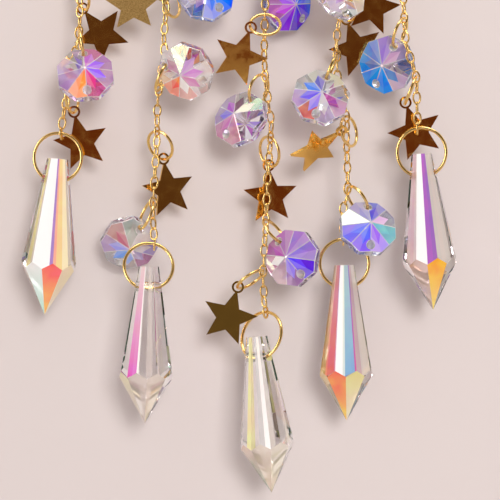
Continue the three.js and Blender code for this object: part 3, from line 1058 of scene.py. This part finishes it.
DROPS = {
    1: {
        "strips": (0.0, 0.16, 0.5, 0.84, 1.0),
        "upper": {
            0: [PAINTED_WHITE_HIGHLIGHT, PAINTED_WHITE_HIGHLIGHT, PAINTED_WHITE_HIGHLIGHT, ("a078c8", 0.8)],
            1: [("f8a888", 0.7), ("f4d478", 0.65), ("f8ecb4", 0.6), ("f4ecdc", 0.4)],
            7: [CLEAR, ("f6eee4", 0.2), ("fff0a8", 0.5), ("f8ece0", 0.3)],
        },
        "lower": {
            7: ("ffffff", 0.95, "c8fff0", 0.75),
            0: ("fc6878", 0.9, "ffcc58", 0.75),
            1: ("fcecb0", 0.6, "f8f0cc", 0.6),
            6: ("f8dcc0", 0.2),
        },
    },
    2: {
        "strips": (0.0, 0.1, 0.45, 0.75, 1.0),
        "upper": {
            0: [("ffffff", 0.6), CLEAR, PAINTED_PALE_LIGHT, CLEAR],
            1: [PAINTED_PALE_LIGHT, ("ece2dc", 0.15), CLEAR, CLEAR],
            7: [CLEAR, CLEAR, ("f4b8cc", 0.3, "e858c8", 0.85), ("f4b8c8", 0.4, "e868d0", 0.8)],
        },
        "lower": {
            7: ("f4ece4", 0.45, "fff8f0", 0.5),
            0: ("fff8ec", 0.3, "fff4dc", 0.5),
            1: CLEAR,
            6: ("f8f4b0", 0.6, "f4f0e8", 0.3),
        },
    },
    3: {
        "strips": (0.0, 0.25, 0.5, 0.75, 1.0),
        "upper": {
            0: [("ffffff", 0.55), ("fffaf4", 0.5, "ffffff", 0.8), ("ffffff", 0.3, "fff8f0", 0.5), CLEAR],
            1: [CLEAR, ("ece2de", 0.15), PAINTED_PALE_LIGHT, CLEAR],
            7: [("e8f0e8", 0.15), ("f4f0a0", 0.65), ("f4ecb0", 0.5), CLEAR],
        },
        "lower": {
            7: ("fff6ea", 0.3, "fff0d8", 0.4),
            0: ("fffaf0", 0.5, "fff4dc", 0.5),
            1: CLEAR,
            6: ("f8d0c0", 0.4, "d8f0e8", 0.3),
        },
    },
    4: {
        "strips": (0.0, 0.34, 0.46, 0.93, 1.0),
        "upper": {
            0: [
                PAINTED_WHITE_HIGHLIGHT, ("f4ffe8", 0.7, "d0e4e4", 0.7), ("9cc4cc", 0.7, "74a8d8", 0.8),
                ("7050b8", 0.8, "c84898", 0.8),
            ],
            1: [("e0c0d0", 0.5), ("ece4e4", 0.4), PAINTED_PALE_LIGHT, CLEAR],
            7: [
                ("f0c0b0", 0.3, "fcc880", 0.5), ("e8a090", 0.4, "fa9070", 0.8),
                ("dc7898", 0.7, "f07070", 0.85), ("b078c0", 0.7, "dc88b8", 0.7),
            ],
        },
        "lower": {
            7: ("ff8070", 0.9, "ffd868", 0.8),
            0: ("dcd468", 0.65, "f0e0b8", 0.4),
            1: ("f4ecd8", 0.15),
            6: ("fcc070", 0.5, "f4e4d8", 0.3),
        },
    },
    5: {
        "strips": (0.0, 0.25, 0.52, 0.8, 1.0),
        "upper": {
            0: [PAINTED_WHITE_HIGHLIGHT, PAINTED_WHITE_HIGHLIGHT, ("a860c0", 0.85), ("9050b8", 0.8)],
            1: [("ece8e4", 0.4), PAINTED_PALE_LIGHT, ("f0ece8", 0.35), CLEAR],
            7: [CLEAR, ("f4d4dc", 0.55), ("f4ccd8", 0.55), ("f8e4ea", 0.3)],
        },
        "lower": {
            7: ("fad6d2", 0.55, "f8e4dc", 0.5),
            0: ("f8a848", 0.9, "f4e070", 0.75),
            1: ("f8e4c0", 0.2),
            6: ("f8e4ea", 0.15),
        },
    },
}

STARS = [
    "star_1_upper", "star_1_lower", "star_2_upper", "star_2_lower", "star_3_upper", "star_3_middle",
    "star_3_lower", "star_4_upper", "star_4_lower", "star_5_upper", "star_5_lower",
]
BLASTED_STARS = ["star_2_upper"]


# Assembly.

chain_tops = [make_chain(number) for number in range(1, 6)]
make_hoop(chain_tops)

star = star_shape()
for node in STARS:
    make_star(node, star, BLASTED_PLATE if node in BLASTED_STARS else GOLD_PLATE)
    make_ring(f"jump_ring_{node}", JUMP_RING_RADIUS, JUMP_RING_WIRE)

octagon = octagon_shape()
for node, flashes in OCTAGONS.items():
    make_octagon(node, octagon, flashes)
    make_ring(f"jump_ring_{node}", JUMP_RING_RADIUS, JUMP_RING_WIRE)

for number, flashes in DROPS.items():
    make_drop(number, flashes["strips"], flashes["upper"], flashes["lower"])
    make_ring(f"drop_ring_{number}", DROP_RING_RADIUS, DROP_RING_WIRE)


# The studio, in metres: a pale wall close behind the suncatcher, curving down to a floor below it.

FLOOR_HEIGHT = -0.6
FLOOR_REACH = 1.9
WALL_DEPTH = 0.0125
WALL_BEND = 0.12
WALL_TOP = 0.5
WALL_WIDTH = 4.0
BEND_STEPS = 16
MIDDLE = (0.0, 0.0, -0.18)
KEY_AIM = (0.05, 0.0, -0.1)
BOX_SPREAD = math.radians(70)
ROOM_LIGHT = 0.92

# Which part of a direction's depth and height, from -1 to 1, the dark side spreads over.

DARK_DEPTH = (-0.55, -0.1)
DARK_HEIGHT = (-0.5, 0.5)


def painted_paper():
    """Paper with a coat of matt paint, pale and even but for faint patches. It shows on its front only,
    so that the suncatcher can be seen from behind."""
    material, tree = new_material("matt_painted_paper")
    place = add_node(tree, "ShaderNodeTexCoord")
    uneven = add_node(
        tree,
        "ShaderNodeTexNoise",
        inputs={"Scale": 1 / (PAPER_PATCH * MM)},
        links={"Vector": place.outputs["Object"]},
    )
    colour = add_node(
        tree, "ShaderNodeMix", settings={"data_type": "RGBA"}, links={"Factor": uneven.outputs["Fac"]}
    )
    colour.inputs["A"].default_value = (*linear("d4cdcb"), 1)
    colour.inputs["B"].default_value = (*linear("cfc8c6"), 1)
    shader = add_node(
        tree,
        "ShaderNodeBsdfPrincipled",
        inputs={"Roughness": 0.9},
        links={"Base Color": colour.outputs["Result"]},
    )
    side = add_node(tree, "ShaderNodeNewGeometry")
    open_back = add_node(tree, "ShaderNodeBsdfTransparent")
    both = add_node(
        tree,
        "ShaderNodeMixShader",
        links={"Fac": side.outputs["Backfacing"], 1: shader.outputs[0], 2: open_back.outputs[0]},
    )
    finish_material(tree, both)
    return material


def make_sweep():
    profile = [(-FLOOR_REACH, FLOOR_HEIGHT)]
    for i in range(BEND_STEPS + 1):
        a = math.pi / 2 * i / BEND_STEPS
        y = WALL_DEPTH - WALL_BEND * (1 - math.sin(a))
        profile.append((y, FLOOR_HEIGHT + WALL_BEND * (1 - math.cos(a))))
    profile.append((WALL_DEPTH, WALL_TOP))
    corners = [(x, y, z) for y, z in profile for x in (-WALL_WIDTH / 2, WALL_WIDTH / 2)]
    faces = [[2 * i, 2 * i + 1, 2 * i + 3, 2 * i + 2] for i in range(len(profile) - 1)]
    mesh = bpy.data.meshes.new("sweep")
    mesh.from_pydata(corners, [], faces)
    smooth(mesh)
    mesh.materials.append(painted_paper())
    sweep = bpy.data.objects.new("sweep", mesh)
    scene.collection.objects.link(sweep)


def add_soft_box(name, place, aim, size, watts, hex_colour, mirrored):
    """A soft box that either lights the matt surfaces or is only seen mirrored in metal and glass."""
    data = bpy.data.lights.new(name, "AREA")
    data.shape = "RECTANGLE"
    data.size, data.size_y = size
    data.energy = watts
    data.color = linear(hex_colour)
    data.spread = BOX_SPREAD
    light = bpy.data.objects.new(name, data)
    light.location = place
    light.rotation_euler = (Vector(aim) - Vector(place)).to_track_quat("-Z", "Y").to_euler()
    light.visible_glossy = mirrored
    light.visible_diffuse = not mirrored
    scene.collection.objects.link(light)


# The dark side of the room, where the camera stands, as height from 0 to 1 and tone.

ROOM_TONES = (
    (0.1, "716d4d"), (0.2, "716d4d"), (0.3, "713b26"), (0.42, "5a3a2c"), (0.6, "5f584d"),
    (1.0, "6a6058"),
)


def light_room():
    """Even pale light. Only what polished metal and glass mirror also has the dark side of the room."""
    world = bpy.data.worlds.new("room")
    scene.world = world
    world.use_nodes = True
    tree = world.node_tree
    tree.nodes.clear()
    place = add_node(tree, "ShaderNodeTexCoord")
    way = add_node(tree, "ShaderNodeSeparateXYZ", links={"Vector": place.outputs["Generated"]})
    front = add_node(
        tree,
        "ShaderNodeMapRange",
        settings={"interpolation_type": "SMOOTHSTEP"},
        inputs={"From Min": DARK_DEPTH[0], "From Max": DARK_DEPTH[1]},
        links={"Value": way.outputs["Y"]},
    )
    height = add_node(
        tree,
        "ShaderNodeMapRange",
        inputs={"From Min": DARK_HEIGHT[0], "From Max": DARK_HEIGHT[1]},
        links={"Value": way.outputs["Z"]},
    )
    dark_side = add_node(tree, "ShaderNodeValToRGB", links={"Fac": height.outputs["Result"]})
    ramp = dark_side.color_ramp
    while len(ramp.elements) < len(ROOM_TONES):
        ramp.elements.new(0.5)
    for element, (level, tone) in zip(ramp.elements, ROOM_TONES):
        element.position = level
        element.color = (*linear(tone), 1)
    colour = add_node(
        tree,
        "ShaderNodeMix",
        settings={"data_type": "RGBA"},
        links={"Factor": front.outputs["Result"], "A": dark_side.outputs["Color"]},
    )
    colour.inputs["B"].default_value = (*linear("e6dcd8"), 1)
    path = add_node(tree, "ShaderNodeLightPath")
    mirrored = add_node(
        tree,
        "ShaderNodeMath",
        settings={"operation": "SUBTRACT", "use_clamp": True},
        links={0: path.outputs["Is Glossy Ray"], 1: path.outputs["Is Transmission Ray"]},
    )
    shown = add_node(
        tree,
        "ShaderNodeMix",
        settings={"data_type": "RGBA"},
        links={"Factor": mirrored.outputs[0], "B": colour.outputs["Result"]},
    )
    shown.inputs["A"].default_value = (*linear("e9deda"), 1)
    background = add_node(
        tree,
        "ShaderNodeBackground",
        inputs={"Strength": ROOM_LIGHT},
        links={"Color": shown.outputs["Result"]},
    )
    add_node(tree, "ShaderNodeOutputWorld", links={"Surface": background.outputs[0]})


make_sweep()
light_room()
add_soft_box("key_box", (0.42, -1.8, 0.26), KEY_AIM, (0.6, 0.6), 3.5, "fffbfa", mirrored=False)
add_soft_box("left_box", (-1.1, -0.9, 0.0), MIDDLE, (0.4, 1.1), 1.8, "fbf8ff", mirrored=True)
add_soft_box("top_box", (0.1, -0.5, 1.0), MIDDLE, (0.9, 0.5), 1.4, "ffffff", mirrored=True)
